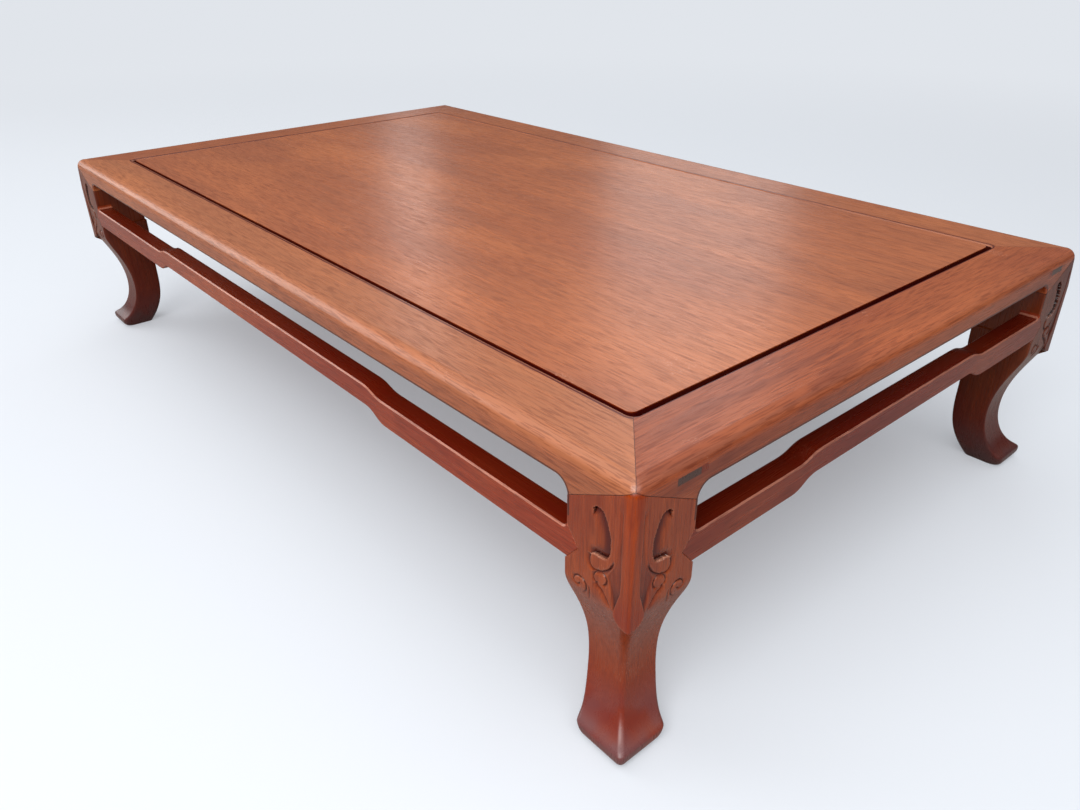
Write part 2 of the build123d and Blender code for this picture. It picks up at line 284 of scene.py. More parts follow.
def outsideRounded(tree, across, up, half, top, radius):  # how far outside a rectangle with round corners
    a = maths(tree, "SUBTRACT", maths(tree, "ABSOLUTE", across), half - radius)
    b = maths(tree, "SUBTRACT", maths(tree, "ABSOLUTE", up), top - radius)
    squares = [maths(tree, "POWER", maths(tree, "MAXIMUM", side, 0.0), 2.0) for side in (a, b)]
    corner = maths(tree, "SQRT", maths(tree, "ADD", *squares))
    within = maths(tree, "MINIMUM", maths(tree, "MAXIMUM", a, b), 0.0)
    return maths(tree, "SUBTRACT", maths(tree, "ADD", corner, within), radius)


def gapLines(tree, place):  # a fine dark line beside the eased edge of the gaps under the rails
    x, y, z = axes(tree, place)
    p, q = cornerPlace(tree, place)[:2]
    high = maths(tree, "GREATER_THAN", z, railGap["lineFrom"])
    found = []
    for across, half, setback in ((x, "halfLength", q), (y, "halfWidth", p)):
        away = outsideRounded(tree, across, z, railGap[half], railGap["top"], railGap["radius"])
        line = fineLine(tree, away, railGap["ease"], railGap["lineWidth"])
        line = times(tree, line, maths(tree, "LESS_THAN", setback, railGap["faceReach"]))
        found.append(times(tree, line, high))
    return maths(tree, "MAXIMUM", *found)


def openingShade(tree, place, upwards, offset):  # round the panel: a band, a line, and the gap's wall
    x, y, z = axes(tree, place)
    away = outsideRounded(tree, x, y, opening["halfLength"], opening["halfWidth"], opening["radius"])
    onFace = maths(tree, "GREATER_THAN", z, tableHeight - faceReach)
    line = times(tree, fineLine(tree, away, offset, opening["lineWidth"]), onFace)
    band = times(tree, maths(tree, "LESS_THAN", away, offset), onFace)
    band = times(tree, band, maths(tree, "GREATER_THAN", away, opening["bandFrom"]))
    wall = remap(tree, z, tableHeight - opening["lip"], tableHeight - opening["ease"], 1, 0)
    wall = times(tree, wall, maths(tree, "GREATER_THAN", upwards, opening["wallFacing"]))
    wall = times(tree, wall, maths(tree, "LESS_THAN", away, opening["wallReach"]))
    return (
        (times(tree, band, opening["bandAmount"]), "paintedShade"),
        (times(tree, line, opening["lineAmount"]), "paintedShade"),
        (times(tree, wall, opening["wallAmount"]), "gap"),
    )


def edgeHighlightsAndWornCorners(tree, place, upwards, streaks, rim):  # painted highlight on the upper bevels, and wear on the table's own corners
    bevels = times(
        tree, remap(tree, upwards, *edgeHighlightAndWear["tippedUp"]), remap(tree, upwards, *edgeHighlightAndWear["nearlyLevel"])
    )
    if not rim:
        return bevels
    p, q, z = cornerPlace(tree, place)
    outer = maths(tree, "LESS_THAN", maths(tree, "MINIMUM", p, q), edgeHighlightAndWear["rimWidth"])
    corner = remap(tree, maths(tree, "MAXIMUM", p, q), *edgeHighlightAndWear["corner"])
    corner = times(tree, corner, remap(tree, z, *edgeHighlightAndWear["cornerHeight"]))
    corner = times(tree, corner, remap(tree, streaks, *edgeHighlightAndWear["uneven"]))
    return maths(tree, "MAXIMUM", times(tree, bevels, outer), corner)


def woodNoises(tree, place, look):
    turned = addNode(
        tree, "ShaderNodeMapping", {"vector_type": "POINT"},
        {"Vector": place, "Rotation": grainTurn[look["grain"]], "Location": look["shift"]},
    ).outputs[0]
    noises = {}
    for name, (along, across, detail, roughness, distortion) in grainNoise.items():
        stretched = addNode(
            tree, "ShaderNodeMapping", {"vector_type": "POINT"},
            {"Vector": turned, "Scale": (along, across, across)},
        ).outputs[0]
        noises[name] = addNode(
            tree, "ShaderNodeTexNoise", {},
            {"Vector": stretched, "Scale": 1.0, "Detail": detail, "Roughness": roughness,
             "Distortion": distortion},
        ).outputs["Fac"]
    return noises


def lay(tree, tint, layers):  # colours of the wood over each other, each through its mask
    for mask, over in layers:
        tint = mixColour(tree, mask, tint, woodLook[over])
    return tint


def noiseMask(tree, noises, name, *amounts):
    return remap(tree, noises[name], *noiseRange[name], *amounts)


def freshWood(tree, noises, streaky):
    tint = mixColour(tree, noiseMask(tree, noises, "bands"), woodLook["dark"], woodLook["light"])
    return lay(tree, tint, (
        (woodLook["middleShare"], "middle"),
        (noiseMask(tree, noises, "patches"), "russet"),
        (noiseMask(tree, noises, "figure", 0.0, streaky), "dark"),
        (noiseMask(tree, noises, "streaks"), "dark"),
        (noiseMask(tree, noises, "fine"), "dark"),
        (noiseMask(tree, noises, "mottle"), "light"),
    ))


def carvedLayers(tree, place, noises):  # scuffs with a painted sheen on the foot, the lighter corner strip, painted shade in the cuts and creases, and painted highlight with wear on the rims
    z = axes(tree, place)[2]
    carve, creaseShade, rim, leaf = (
        addNode(tree, "ShaderNodeAttribute", {"attribute_name": name}).outputs["Fac"]
        for name in ("carve", "creaseShade", "rim", "leaf")
    )
    spots = remap(tree, noises["knocks"], *legMarksAndShade["scuffSpots"])
    streaks = remap(tree, noises["streaks"], *legMarksAndShade["stripStreaks"])
    strip = times(tree, times(tree, leaf, streaks), remap(tree, z, *legMarksAndShade["stripHeight"]))
    return (
        (remap(tree, z, *legMarksAndShade["reddened"]), "russet"),
        (times(tree, remap(tree, z, *legMarksAndShade["scuffsAndSheen"]), spots), "scuffsAndSheen"),
        (times(tree, leaf, remap(tree, z, *legMarksAndShade["leafTip"])), "russet"),
        (strip, "strip"),
        (remap(tree, carve, *legMarksAndShade["cutDepth"]), "paintedShade"),
        (times(tree, creaseShade, legMarksAndShade["creaseShadeAmount"]), "lineDarkAndShade"),
        (times(tree, rim, legMarksAndShade["rimAmount"]), "wornAndHighlight"),
    )


def tenonEnd(tree, place):  # the end of the long rail, where it shows in the short one
    x, _, z = axes(tree, place)
    atEnd = maths(tree, "GREATER_THAN", maths(tree, "ABSOLUTE", x), halfLength - faceReach)
    return times(tree, atEnd, maths(tree, "LESS_THAN", z, tenonTop))


def rosewood(name, ownLook):
    look = {**usualWood, **ownLook}
    material, tree = newMaterial(name)
    place = addNode(tree, "ShaderNodeTexCoord").outputs["Object"]
    facing = addNode(tree, "ShaderNodeNewGeometry").outputs["Normal"]
    upwards = axes(tree, facing)[2]
    noises = woodNoises(tree, place, look)
    pores = noiseMask(tree, noises, "pores")
    knocks = times(tree, noiseMask(tree, noises, "flecks"), noiseMask(tree, noises, "knocks"))
    # Painted light on the upward faces: a painted sheen, or painted shade where the stretchers' tops take a
    # dark colour
    paintedTopLight = remap(tree, upwards, look["topLightFrom"], woodLook["levelFrom"], 0, look["fade"])
    layers = []
    if look["red"]:
        layers.append((look["red"], "russet"))
    layers.append((paintedTopLight, look["paintedOnTop"]))
    # Painted highlight on the upper bevels, with wear on the table's corners
    if look["edges"]:
        edges = edgeHighlightsAndWornCorners(tree, place, upwards, noises["streaks"], look["rim"])
        layers.append((maths(tree, "MULTIPLY", edges, look["edges"], clamp=True), "wornAndHighlight"))
    layers.append((times(tree, pores, look["porous"]), "pore"))
    layers.append((times(tree, knocks, look["scratched"]), "wornAndHighlight"))
    if look["rim"]:
        layers.extend(openingShade(tree, place, upwards, opening[look["rim"]]))
    # Fine dark lines at the joints and beside the gaps under the rails
    if look["joints"]:
        seams = jointLines(tree, place, look["joints"] == "mitred")
        fineDarkLines = maths(tree, "MAXIMUM", seams, gapLines(tree, place))
        layers.append((times(tree, fineDarkLines, joint["fineDarkLines"]), "lineDarkAndShade"))
    if look["carved"]:
        layers.extend(carvedLayers(tree, place, noises))
    if look["tenon"]:
        layers.append((tenonEnd(tree, place), "endGrain"))
    tint = lay(tree, freshWood(tree, noises, look["streaky"]), layers)
    tint = addNode(
        tree, "ShaderNodeHueSaturation", {},
        {"Color": tint, "Value": look["toneAndShade"], "Saturation": woodLook["saturation"]},
    ).outputs[0]
    roughest = woodLook["roughness"] + woodLook["roughnessSpread"]
    smoothest = woodLook["roughness"] - woodLook["roughnessSpread"]
    rough = remap(tree, noises["streaks"], *noiseRange["roughness"], roughest, smoothest)
    rough = maths(tree, "ADD", rough, times(tree, pores, woodLook["poreRoughness"]))
    ridges = times(tree, noises["fine"], woodLook["fineHeight"])
    height = maths(tree, "SUBTRACT", ridges, times(tree, pores, woodLook["poreDepth"]))
    bump = addNode(
        tree, "ShaderNodeBump", {},
        {"Strength": woodLook["bumpStrength"], "Distance": woodLook["bumpDistance"], "Height": height},
    ).outputs[0]
    shader = addNode(
        tree, "ShaderNodeBsdfPrincipled", {}, {"Base Color": tint, "Roughness": rough, "Normal": bump}
    )
    addNode(tree, "ShaderNodeOutputMaterial", {}, {"Surface": shader.outputs[0]})
    return material


# The rails take painted sheen down their sides and rounded edges as well as on top
railWood = {"joints": "mitred", "topLightFrom": -1.6, "edges": 0.06}
longRailWood = {**railWood, "grain": "x", "tenon": True, "rim": "long"}
shortRailWood = {**railWood, "grain": "y", "rim": "short"}
# The stretchers' upper faces take painted shade, and their upper bevels painted highlight
stretcherWood = {"fade": 0.8, "paintedOnTop": "paintedShade", "edges": 0.36, "scratched": 0.1}
battenWood = {"grain": "y", "toneAndShade": 0.8}
legWood = {"grain": "z", "joints": "leg", "carved": True, "porous": 0.3}
wedgeWood = {"grain": "x", "red": 0.4, "toneAndShade": 0.8}
# The low tones of the three far legs, the side stretchers and the far short rail, and the redder mixes on
# them, are painted shade; the higher tones of the near leg and the front stretcher are painted light
woodPieces = {
    "panel": {"grain": "x", "shift": (0.13, 0.21, 0.4), "red": 0.06, "toneAndShade": 1.05, "rim": "long"},
    "long_rail_front": {**longRailWood, "shift": (1.3, 0.7, 0.1), "fade": 0.45, "toneAndShade": 1.02},
    "long_rail_back": {**longRailWood, "shift": (2.3, 1.7, 0.6), "fade": 0.36},
    "short_rail_left": {**shortRailWood, "shift": (3.3, 0.4, 0.9), "fade": 0.32},
    "short_rail_right": {
        **shortRailWood, "shift": (4.1, 2.4, 0.3), "fade": 0.2, "red": 0.2, "streaky": 0.95, "toneAndShade": 0.97,
    },
    "stretcher_front": {**stretcherWood, "grain": "x", "shift": (5.2, 3.1, 0.5), "toneAndShade": 1.12, "red": 0.25},
    "stretcher_back": {**stretcherWood, "grain": "x", "shift": (6.2, 3.7, 0.2), "toneAndShade": 1.0, "red": 0.3},
    "stretcher_left": {**stretcherWood, "grain": "y", "shift": (7.2, 4.1, 0.8), "toneAndShade": 0.95, "red": 0.35},
    "stretcher_right": {**stretcherWood, "grain": "y", "shift": (8.2, 4.6, 0.7), "toneAndShade": 0.85, "red": 0.4},
    "batten_1": {**battenWood, "shift": (9.2, 5.1, 0.5)},
    "batten_2": {**battenWood, "shift": (10.2, 5.7, 0.5)},
    "batten_3": {**battenWood, "shift": (11.2, 6.1, 0.5)},
    "leg_front_left": {**legWood, "shift": (12.2, 6.6, 0.5), "red": 0.25, "toneAndShade": 0.5},
    "leg_front_right": {**legWood, "shift": (13.2, 7.1, 0.5), "red": 0.2, "toneAndShade": 0.9},
    "leg_back_left": {**legWood, "shift": (14.2, 7.6, 0.5), "red": 0.25, "toneAndShade": 0.5},
    "leg_back_right": {**legWood, "shift": (15.2, 8.1, 0.5), "red": 0.25, "toneAndShade": 0.44},
    "wedge_front_left": {**wedgeWood, "shift": (16.2, 8.6, 0.5)},
    "wedge_front_right": {**wedgeWood, "shift": (17.2, 9.1, 0.5)},
    "wedge_back_left": {**wedgeWood, "shift": (18.2, 9.6, 0.5)},
    "wedge_back_right": {**wedgeWood, "shift": (19.2, 10.1, 0.5)},
}
for node, look in woodPieces.items():
    if not look.get("carved"):
        wood = rosewood(node + "_wood", look)
        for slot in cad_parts[node].material_slots:
            slot.material = wood
print("wood laid")


# Legs: a square section that follows two profiles, wrapped round the corner of the table and carved.
# Sizes are in millimetres. p and q are distances in from the end face and from the long face.
legShape = {
    "size": 60,
    "shoulder": [(0, 149), (0, 134), (23.7, 106), (23.7, 66)],
    "instep": [(23.7, 66), (23.7, 39.6), (13, 20.1), (0, 13.6)],
    "toe": [(0, 10), (0, 4), (4, 0), (11, 0)],
    "calf": [(42, 0), (54, 20), (60, 40), (60, 75)],
    "swell": [(60, 118), (60, 133.5), (61.5, 133.5), (61.5, 149)],
    "swellEnd": 160.5,
    "stretcherLow": 162,
    "stretcherSeat": [(61.5, 193), (48.5, 175.5), (61.5, 160)],
    "seamLow": 212.5,
    "seamHigh": 243,
    "cornerLow": 2.5,
    "cornerHigh": 12,
    "cornerStart": 207,
    "arris": 4,
    "arrisWider": 3.5,  # above the foot
    "arrisGrows": (62, 112),
    "topEdge": 11,
    "softEdge": 1.3,
    "softFoot": 3.6,  # how much rounder the foot is
    "softFootEnds": (8, 48),
    "leafHeights": (120, 150),
    "leafWall": 0.5,
    "leafRoot": 3.2,  # how much gentler the leaf's root is than its wall
    "leafRootFrom": (0.72, 0.95),
    "carvedFrom": 116,
    "fanStart": 205,
    "fanTop": 238,
    "cell": 0.5,
}
toeRidge = {"step": 0.25, "top": 150, "reach": 12, "spread": 5.5, "from": (9, 11), "to": (22, 28)}
rowCounts = {"toe": 14, "ball": 5, "shaft": 30, "ankle": 28, "fan": 56}
columnCounts = {"corner": 11, "edge": 5, "back": 9}
stepCounts = {"curve": 60, "swell": 30, "leaf": 301, "endRings": 5, "fanRounds": 6}

# Lines of the carving on one face, as distance in from the outer corner and height
carving = {
    "strip": [(8.8, 240), (8.8, 200), (8.9, 165), (10.8, 156), (14.3, 143), (13.2, 138.2), (9.2, 134.9),
              (4.5, 133.6), (-1, 133.2)],
    "ground": [(17.4, 229), (12.7, 222.5), (11.7, 211.5), (12.3, 203), (14.1, 192), (16.9, 181),
               (21.2, 173.4), (21.9, 167.5), (19.8, 161.5), (17.6, 152), (16.2, 143), (15.8, 134.5)],
    "hollow": [(35.0, 212.3), (34.7, 215.6), (32.2, 217.9), (28.3, 218.1), (25.0, 215.6), (22.3, 210.3),
               (19.9, 203.6), (18.9, 196.5), (18.9, 190), (20.3, 184.9), (23.3, 181.7), (28.0, 180.7),
               (33.0, 180.6), (36.2, 178.7)],
    "ribbon": [(15.2, 186), (17.4, 180), (21.2, 173.6), (27.4, 168.9), (33.4, 167.7), (37.0, 170.6),
               (37.6, 175.0), (36.2, 178.7)],
    "bud": [(25.3, 158.6), (22.4, 161.4), (22.2, 165.6), (25.2, 168.2), (29.4, 167.6), (32.5, 164.6),
            (33.1, 160.9), (30.6, 158.4), (28.3, 160.0)],
    "tail": [(32.6, 158.2), (29.0, 156.4), (25.6, 155.0), (22.4, 151.8), (19.2, 147.2), (16.9, 142.8)],
    "curl": [(46.0, 148.6), (48.4, 145.2), (51.9, 146.4), (51.6, 150.2), (48.0, 152.6), (43.6, 152.2),
             (40.8, 149.2), (41.0, 144.8), (43.6, 140.8), (47.2, 137.6)],
    "rib": [(37.6, 152.2), (37.4, 146.5), (38.7, 140.2), (41.0, 133.6)],
}
gouges = {  # depth, reach on the left and the right, and the shares of the line that fade in and out
    "ribbon": (1.8, 1.3, 4.2, 0.2, 0.08),
    "bud": (1.5, 2.8, 1.0, 0.08, 0.12),
    "tail": (1.8, 5.0, 1.2, 0.1, 0.25),
    "curl": (1.4, 1.0, 2.6, 0.05, 0.2),
    "rib": (1.0, 1.8, 1.8, 0.3, 0.3),
}
gougePower = 1.7
hollowCut = {  # each stage adds its amount between two shares of the line
    "power": 1.35,
    "depth": [(3.0, 0, 0.05), (0.2, 0.1, 0.4)],
    "depthEnds": (0.88, 1.0),
    "width": 4.6,
    "wider": [(4.4, 0.04, 0.16), (3.0, 0.2, 0.45), (-5.0, 0.76, 0.92)],
}
groundCut = {
    "top": 229, "bottom": 134, "topEnds": (229, 221), "stripWall": (0, 0.8), "slope": (0, 3.2),
    "depth": 0.6, "deeper": [(0.4, 190, 172), (0.7, 168, 148)],
}
seatCut = {"groove": 0.35, "grooveEnds": (0, 0.6), "depth": 1.6, "wall": (0, 0.3)}
seamCut = {"depth": 0.4, "ends": (0, 0.7)}
# the leaf's edge takes painted highlight, the shaft beside it painted shadow
leafEdge = {"from": (0.45, 0.65), "amount": 0.6, "shadow": (0, 2.4), "edgeHighlightAndWear": (0.1, 1.1)}
# how strong the painted highlight and wear on the carving's rims are
rimSheenAndWear = {"least": 0.35, "lip": 0.65, "lipFrom": (0.74, 0.82), "lipReach": 2.5, "offSeat": (1, 2)}
relief = {"rounds": 3, "sharpness": 4, "rimStart": 0.1}  # how creases and rims are found in the carving
snapped = {"strip": 165, "hollow": 225, "seat": 225}  # lines that points move onto, up to this height
snapReach = 0.45  # of a cell
tie = 1e-9  # lengths that differ by less count as equal


def bezier(points, count):
    t = np.linspace(0, 1, count)[:, None]
    a, b, c, d = (np.array(point, float) for point in points)
    return a * (1 - t) ** 3 + 3 * b * t * (1 - t) ** 2 + 3 * c * t ** 2 * (1 - t) + d * t ** 3


def smoothLine(points, perSpan=10):  # a line through every point
    points = np.array(points, float)
    padded = np.vstack([2 * points[0] - points[1], points, 2 * points[-1] - points[-2]])
    t = np.linspace(0, 1, perSpan, endpoint=False)[:, None]
    spans = []
    for before, start, end, after in zip(padded, padded[1:], padded[2:], padded[3:]):
        spans.append(0.5 * (
            2 * start + (end - before) * t + (2 * before - 5 * start + 4 * end - after) * t ** 2
            + (3 * start - before - 3 * end + after) * t ** 3
        ))
    return np.vstack(spans + [points[-1:]])


def spanGaps(line, s, z):  # for each span: how far along it the nearest place is, and the gaps to it
    for start, end in zip(line, line[1:]):
        run = end - start
        t = np.clip(((s - start[0]) * run[0] + (z - start[1]) * run[1]) / (run @ run), 0, 1)
        yield run, t, s - start[0] - t * run[0], z - start[1] - t * run[1]


def nearest(line, s, z):  # distance to a line, how far along it, on which side, and the foot
    best = np.full(s.shape, np.inf)
    share, side, footS, footZ = (np.zeros(s.shape) for _ in range(4))
    steps = len(line) - 1
    for index, (run, t, gapS, gapZ) in enumerate(spanGaps(line, s, z)):
        gap = np.hypot(gapS, gapZ)
        nearer = gap < best - tie
        best = np.where(nearer, gap, best)
        share = np.where(nearer, (index + t) / steps, share)
        side = np.where(nearer, np.sign(run[0] * gapZ - run[1] * gapS), side)
        footS = np.where(nearer, s - gapS, footS)
        footZ = np.where(nearer, z - gapZ, footZ)
    return best, share, side, footS, footZ


def soft(value, start, end):  # 0 at the start, 1 at the end, which may lie below it
    t = np.clip((value - start) / (end - start), 0, 1)
    return t * t * (3 - 2 * t)


def staged(value, first, stages):  # the first amount, and more of it stage by stage
    return sum((amount * soft(value, start, end) for amount, start, end in stages), first)


lines = {name: smoothLine(points) for name, points in carving.items()}
lines["seat"] = np.array(legShape["stretcherSeat"])


def footLine():  # the outer profile, with the ridge of the toe rubbed round
    parts = ("toe", "instep", "shoulder")
    outer = np.vstack([bezier(legShape[part], stepCounts["curve"])[::-1] for part in parts])
    heights = np.arange(0, toeRidge["top"], toeRidge["step"])
    setback = np.interp(heights, outer[:, 1], outer[:, 0])
    reach = toeRidge["reach"]
    kernel = np.exp(-(np.arange(-reach, reach + 1) / toeRidge["spread"]) ** 2)
    rounded = np.convolve(np.pad(setback, reach, mode="edge"), kernel / kernel.sum(), mode="valid")
    ridge = soft(heights, *toeRidge["from"]) * (1 - soft(heights, *toeRidge["to"]))
    return heights, setback + (rounded - setback) * ridge


footHeights, footSetbacks = footLine()


def footProfile(z):  # how far the outer faces stand back
    return np.interp(z, footHeights, footSetbacks)


def backProfile(z):  # where the inner faces stand
    calf = bezier(legShape["calf"], stepCounts["curve"])
    swell = bezier(legShape["swell"], stepCounts["swell"])
    seat = [(swell[-1, 0], legShape["swellEnd"]), (legShape["size"], legShape["stretcherLow"])]
    inner = np.vstack([calf, swell, seat])
    return np.interp(z, inner[:, 1], inner[:, 0])


def seamHeight(reach):
    drop = legShape["seamHigh"] - legShape["seamLow"]
    return legShape["seamHigh"] - drop * reach / legShape["size"]


def topRound(z):
    radius = legShape["topEdge"]
    rise = np.clip(z - (tableHeight / mm - radius), 0, radius)
    return radius - np.sqrt(radius ** 2 - rise ** 2)


def leafShare(s, z):  # 1 on the corner strip and its leaf, 0 on the shaft
    gap, share, side = nearest(lines["strip"], s, z)[:3]
    reach = legShape["leafWall"] + legShape["leafRoot"] * soft(share, *legShape["leafRootFrom"])
    return np.where(side > 0, 1 - soft(gap, 0, reach), 1)


def faceDepth(s, z):
    return footProfile(z) * (1 - leafShare(s, z)) + topRound(z)


def softEdge(z):  # the foot is rounder than the head
    return legShape["softEdge"] + legShape["softFoot"] * (1 - soft(z, *legShape["softFootEnds"]))


def cornerLeaf(z):
    heights = np.linspace(*legShape["leafHeights"], stepCounts["leaf"])
    return np.interp(z, heights, leafShare(np.zeros(len(heights)), heights))


def cornerSetback(z):
    return footProfile(z) * (1 - cornerLeaf(z)) + topRound(z)


def cornerRadius(z):
    low, start = legShape["cornerLow"], legShape["cornerStart"]
    rise = (legShape["cornerHigh"] - low) / (tableHeight / mm - start)
    arris = legShape["arris"] + legShape["arrisWider"] * soft(z, *legShape["arrisGrows"])
    return np.where(z > start, low + rise * (z - start), arris + (low - arris) * cornerLeaf(z))


def pressed(name, s, z, deep, reach, power):  # slopes down to a wall that stands on the line
    line = lines[name]
    steps = len(line) - 1
    side = nearest(line, s, z)[2]
    best = np.zeros(s.shape)
    for index, (_, t, gapS, gapZ) in enumerate(spanGaps(line, s, z)):
        share = (index + t) / steps
        slope = np.clip(1 - np.hypot(gapS, gapZ) / reach(share), 0, 1) ** power
        best = np.maximum(best, deep(share) * slope)
    return np.where(side > 0, best, 0)


def gouge(name, s, z, depth, left, right, fadeIn, fadeOut):  # steep or gentle on each side
    gap, share, side = nearest(lines[name], s, z)[:3]
    fade = soft(share, 0, fadeIn) * (1 - soft(share, 1 - fadeOut, 1))
    reach = np.where(side > 0, left, right)
    return depth * fade * np.clip(1 - gap / reach, 0, 1) ** gougePower


def hollowDeep(share):
    return staged(share, 0, hollowCut["depth"]) * (1 - soft(share, *hollowCut["depthEnds"]))


def hollowReach(share):
    return staged(share, hollowCut["width"], hollowCut["wider"])


def groundDepth(s, z):  # the sunk ground between the corner strip and the scrolls
    stripGap, _, stripSide = nearest(lines["strip"], s, z)[:3]
    groundGap, _, groundSide = nearest(lines["ground"], s, z)[:3]
    between = (stripSide > 0) & (groundSide < 0) & (z < groundCut["top"]) & (z > groundCut["bottom"])
    edges = soft(stripGap, *groundCut["stripWall"]) * soft(groundGap, *groundCut["slope"])
    edges = edges * soft(z, *groundCut["topEnds"])
    return np.where(between, staged(z, groundCut["depth"], groundCut["deeper"]) * edges, 0)


def carvedDepth(s, z):
    seatGap, _, seatSide = nearest(lines["seat"], s, z)[:3]
    cuts = [gouge(name, s, z, *sizes) for name, sizes in gouges.items()]
    cuts.append(groundDepth(s, z))
    cuts.append(pressed("hollow", s, z, hollowDeep, hollowReach, hollowCut["power"]))
    cuts.append(seatCut["groove"] * (1 - soft(seatGap, *seatCut["grooveEnds"])))
    cuts.append(np.where(seatSide > 0, seatCut["depth"] * soft(seatGap, *seatCut["wall"]), 0))
    return np.max(cuts, axis=0)


def leafOutline(s, z):  # above 0 for painted highlight on the leaf's edge, below 0 for painted shadow under it on the shaft
    gap, share, side = nearest(lines["strip"], s, z)[:3]
    shadow = -leafEdge["amount"] * (1 - soft(gap, *leafEdge["shadow"]))
    edge = leafEdge["amount"] * (1 - soft(gap, *leafEdge["edgeHighlightAndWear"]))
    return np.where(side > 0, shadow, edge) * soft(share, *leafEdge["from"])


def legRows():  # heights from the sole up, and for the rows of the fan, how far up it they are
    toe = bezier(legShape["toe"], rowCounts["toe"])[::-1, 1]
    toeTop = legShape["instep"][-1][1]
    ankle = legShape["shoulder"][-1][1]
    start, fan, cell = legShape["carvedFrom"], legShape["fanStart"], legShape["cell"]
    below = np.concatenate([
        toe,
        np.linspace(toe[-1], toeTop, rowCounts["ball"])[1:],
        np.linspace(toeTop, ankle, rowCounts["shaft"])[1:],
        np.linspace(ankle, start, rowCounts["ankle"])[1:],
        np.arange(start + cell, fan, cell),
    ])
    above = np.linspace(0, 1, rowCounts["fan"])
    z = np.concatenate([below, fan + above * (legShape["fanTop"] - fan)])
    return z[:, None], np.concatenate([np.full(len(below), -1.0), above])[:, None]


def legColumns():  # once round the section: face, corner, face, edge, back, inner corner, back, edge
    run = np.linspace(0, 1, int(legShape["size"] / legShape["cell"]))
    turn = np.linspace(0, np.pi / 2, columnCounts["corner"])[1:-1]
    ease = np.linspace(0, np.pi / 2, columnCounts["edge"])[1:]
    back = np.linspace(0, 1, columnCounts["back"])[1:]
    parts = [run[::-1], turn, run, ease, back, ease, back, ease[:-1]]
    return np.repeat(np.arange(len(parts)), [len(part) for part in parts]), np.concatenate(parts)


def wrapLeg(kind, value, z, s, depth):  # the points of the section at each height
    soften = softEdge(z)
    radius = cornerRadius(z)
    edge = cornerSetback(z) + radius
    reach = backProfile(z)
    parts = [kind == index for index in range(8)]
    p = np.select(parts, [
        s,
        edge - radius * np.sin(value),
        depth,
        depth + soften * (1 - np.cos(value)),
        depth + soften + (reach - 2 * soften - depth) * value,
        reach - soften + soften * np.sin(value),
        reach + 0 * value,
        reach - soften + soften * np.cos(value),
    ])
    q = np.select(parts, [
        depth,
        edge - radius * np.cos(value),
        s,
        reach - soften + soften * np.sin(value),
        reach + 0 * value,
        reach - soften + soften * np.cos(value),
        reach - soften + (depth + 2 * soften - reach) * value,
        depth + soften * (1 - np.sin(value)),
    ])
    return p, q


def faceRun(kind, value, z):  # distance in from the corner, along a face
    edge = cornerSetback(z) + cornerRadius(z)
    return edge + (backProfile(z) - softEdge(z) - edge) * np.where(kind % 2 == 0, value, 0)


def legBlank():  # one uncarved leg at the corner p = q = 0, with the depth of its carving and its masks
    kind, value = legColumns()
    z, share = legRows()
    z = np.repeat(z, len(kind), axis=1)
    fan = legShape["fanStart"]

    # The top rows fan out to meet the sloping seam under the rails
    fanned = np.repeat(share >= 0, len(kind), axis=1)
    for _ in range(stepCounts["fanRounds"]):
        p, q = wrapLeg(kind, value, z, faceRun(kind, value, z), topRound(z))
        top = seamHeight(np.clip(np.maximum(p, q), 0, legShape["size"]))
        z = np.where(fanned, fan + share * (top - fan), z)

    # Points beside a sharp line move onto it
    s = faceRun(kind, value, z)
    faces = np.repeat(((kind == 0) | (kind == 2))[None], len(z), axis=0)
    inner = (value > 0) & (value < 1)
    for name, highest in snapped.items():
        gap, _, _, footS, footZ = nearest(lines[name], s, z)
        near = gap < snapReach * legShape["cell"]
        moved = faces & inner & near & (z > legShape["carvedFrom"]) & (z < highest)
        s = np.where(moved, footS, s)
        z = np.where(moved, footZ, z)

    depth = np.where(faces, faceDepth(s, z), faceDepth(backProfile(z) - softEdge(z), z))
    belowSeam = np.where(fanned, seamHeight(s) - z, np.inf)
    seamLine = seamCut["depth"] * (1 - soft(belowSeam, *seamCut["ends"]))
    carve = np.maximum(carvedDepth(s, z), seamLine) * faces
    edgeCarve = {3: (carve[:, kind == 2][:, -1:], np.cos(value)), 7: (carve[:, :1], np.sin(value))}
    for side, (amount, weight) in edgeCarve.items():
        carve = np.where(kind == side, amount * weight, carve)
    p, q = wrapLeg(kind, value, z, s, depth)
    direction = np.stack([(kind == 2) | (kind == 3), (kind == 0) | (kind == 7)], axis=1).astype(float)
    leaf = np.where(faces, leafShare(s, z), np.where(kind == 1, cornerLeaf(z), 0))

    # The painted highlight and wear on the rims are strongest at the lip under the hollow, and none lie on
    # the stretchers' seats
    lipGap, lipShare = nearest(lines["hollow"], s, z)[:2]
    lip = rimSheenAndWear["lip"] * soft(lipShare, *rimSheenAndWear["lipFrom"]) * (lipGap < rimSheenAndWear["lipReach"])
    sheenAndWear = rimSheenAndWear["least"] + lip
    sheenAndWear *= soft(nearest(lines["seat"], s, z)[0], *rimSheenAndWear["offSeat"])
    return p, q, z, carve, leaf, sheenAndWear, leafOutline(s, z) * faces, direction


def legFaces(rowCount, columnCount):
    row = np.arange(rowCount - 1)[:, None] * columnCount
    column = np.arange(columnCount)[None]
    after = (column + 1) % columnCount
    corners = [row + column, row + after, row + columnCount + after, row + columnCount + column]
    return np.stack(corners, axis=-1)


